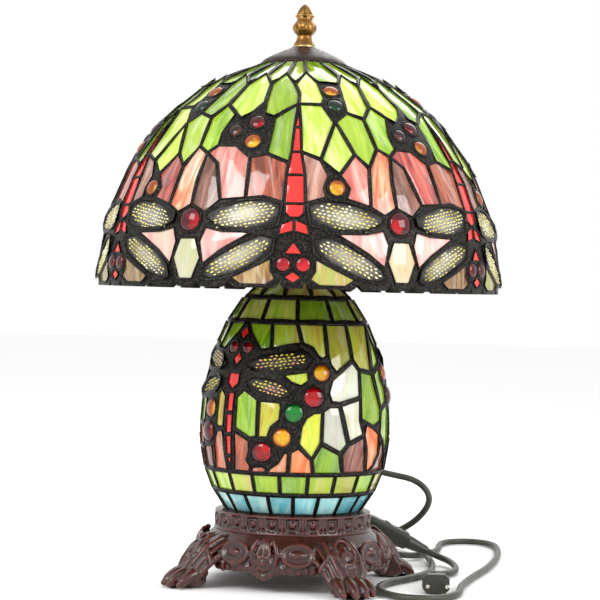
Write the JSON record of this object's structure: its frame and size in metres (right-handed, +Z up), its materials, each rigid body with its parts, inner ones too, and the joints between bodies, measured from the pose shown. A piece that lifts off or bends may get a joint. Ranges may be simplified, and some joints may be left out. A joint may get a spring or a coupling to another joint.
{
  "type": "stained glass table lamp",
  "caption": "Table lamp with a domed leaded glass shade of six dragonflies on an egg-shaped leaded glass body and a cast four-foot base, with cord, rocker switch and plug.",
  "frame": {"origin": "centre of the base on the floor plane, under the lamp's axis", "axes": "+Z up along the lamp's axis, -Y towards the front dragonfly, +X to the viewer's right"},
  "size_m": [0.4422, 0.5423, 0.5846],
  "materials": {
    "red_brown_lacquer_casting": "gloss",
    "felt": "matte",
    "patinated_lead": "satin",
    "green_glass": "gloss",
    "mauve_glass": "gloss",
    "rust_glass": "gloss",
    "cream_glass": "gloss",
    "red_glass": "gloss",
    "grey_glass": "gloss",
    "amber_glass": "gloss",
    "dark_green_glass": "gloss",
    "blue_glass": "gloss",
    "olive_glass": "gloss",
    "zinc_steel": "satin",
    "antique_brass": "satin",
    "dark_bronze": "satin",
    "bulb_glass": "satin",
    "black_plastic": "satin",
    "nickel_pins": "gloss",
    "cord_sheath": "satin"
  },
  "bodies": {
    "base": {"base_casting": "red_brown_lacquer_casting", "bottom_plate": "red_brown_lacquer_casting", "bulbs": "bulb_glass", "cluster_body": "antique_brass", "collar_ring": "red_brown_lacquer_casting", "cord_gland": "black_plastic", "cord_lamp_side": "cord_sheath", "cord_plug_side": "cord_sheath", "egg_blue_band": "blue_glass", "egg_cream_panes": "cream_glass", "egg_dragonfly_panes": "red_glass", "egg_earth_panes": "rust_glass", "egg_green_band": "green_glass", "egg_green_panes": "green_glass", "egg_jewels_amber": "amber_glass", "egg_jewels_green": "dark_green_glass", "egg_jewels_red": "red_glass", "egg_leading": "patinated_lead", "egg_olive_bands": "olive_glass", "egg_orange_panes": "rust_glass", "egg_wing_filigree": "patinated_lead", "egg_wing_panes": "grey_glass", "egg_yellow_panes": "cream_glass", "foot_pads": "felt", "holder_bracket": "zinc_steel", "lamp_holders": "antique_brass", "neck_cap": "dark_bronze", "night_bulb": "bulb_glass", "night_holder": "black_plastic", "plug_body": "black_plastic", "plug_pins": "nickel_pins", "rod_nuts": "zinc_steel", "rod_washers": "zinc_steel", "stem_sleeve": "dark_bronze", "switch_lower_housing": "black_plastic", "switch_sleeves": "black_plastic", "switch_upper_housing": "black_plastic", "threaded_rod": "zinc_steel", "upper_sleeve": "dark_bronze"},
    "shade": {"shade_cream_panes": "cream_glass", "shade_dragonfly_panes": "red_glass", "shade_eyes": "red_glass", "shade_jewels_amber": "amber_glass", "shade_jewels_brown": "amber_glass", "shade_jewels_green": "dark_green_glass", "shade_jewels_red": "red_glass", "shade_leading": "patinated_lead", "shade_leaf_panes": "green_glass", "shade_mauve_panes": "mauve_glass", "shade_rose_panes": "mauve_glass", "shade_rust_panes": "rust_glass", "shade_spider": "antique_brass", "shade_streaky_panes": "rust_glass", "shade_wedge_panes": "mauve_glass", "shade_wing_filigree": "patinated_lead", "shade_wing_panes": "grey_glass", "vented_cap": "dark_bronze"},
    "finial_washer": {"finial_washer": "antique_brass"},
    "finial": {"finial": "antique_brass"},
    "rocker": {"switch_rocker": "black_plastic"}
  },
  "joints": [
    {"name": "shade_turn", "type": "hinge", "parent": "base", "child": "shade", "pos_m": [0, 0, 0.506], "axis": [0, 0, 1], "continuous": true},
    {"name": "finial_unscrew", "type": "hinge", "parent": "base", "child": "finial_washer", "pos_m": [0, 0, 0.5406], "axis": [0, 0, 1], "range_deg": [0, 2200]},
    {"name": "finial_rise", "type": "slide", "parent": "finial_washer", "child": "finial", "axis": [0, 0, 1], "range_m": [0, 0.006]},
    {"name": "rocker_tilt", "type": "hinge", "parent": "base", "child": "rocker", "pos_m": [0.10427, 0.15, 0.03772], "axis": [0, 1, 0], "range_deg": [0, 18]}
  ],
  "couplings": [
    {"joint": "finial_unscrew", "follows": "finial_rise", "rad_per_m": 6283.2}
  ]
}
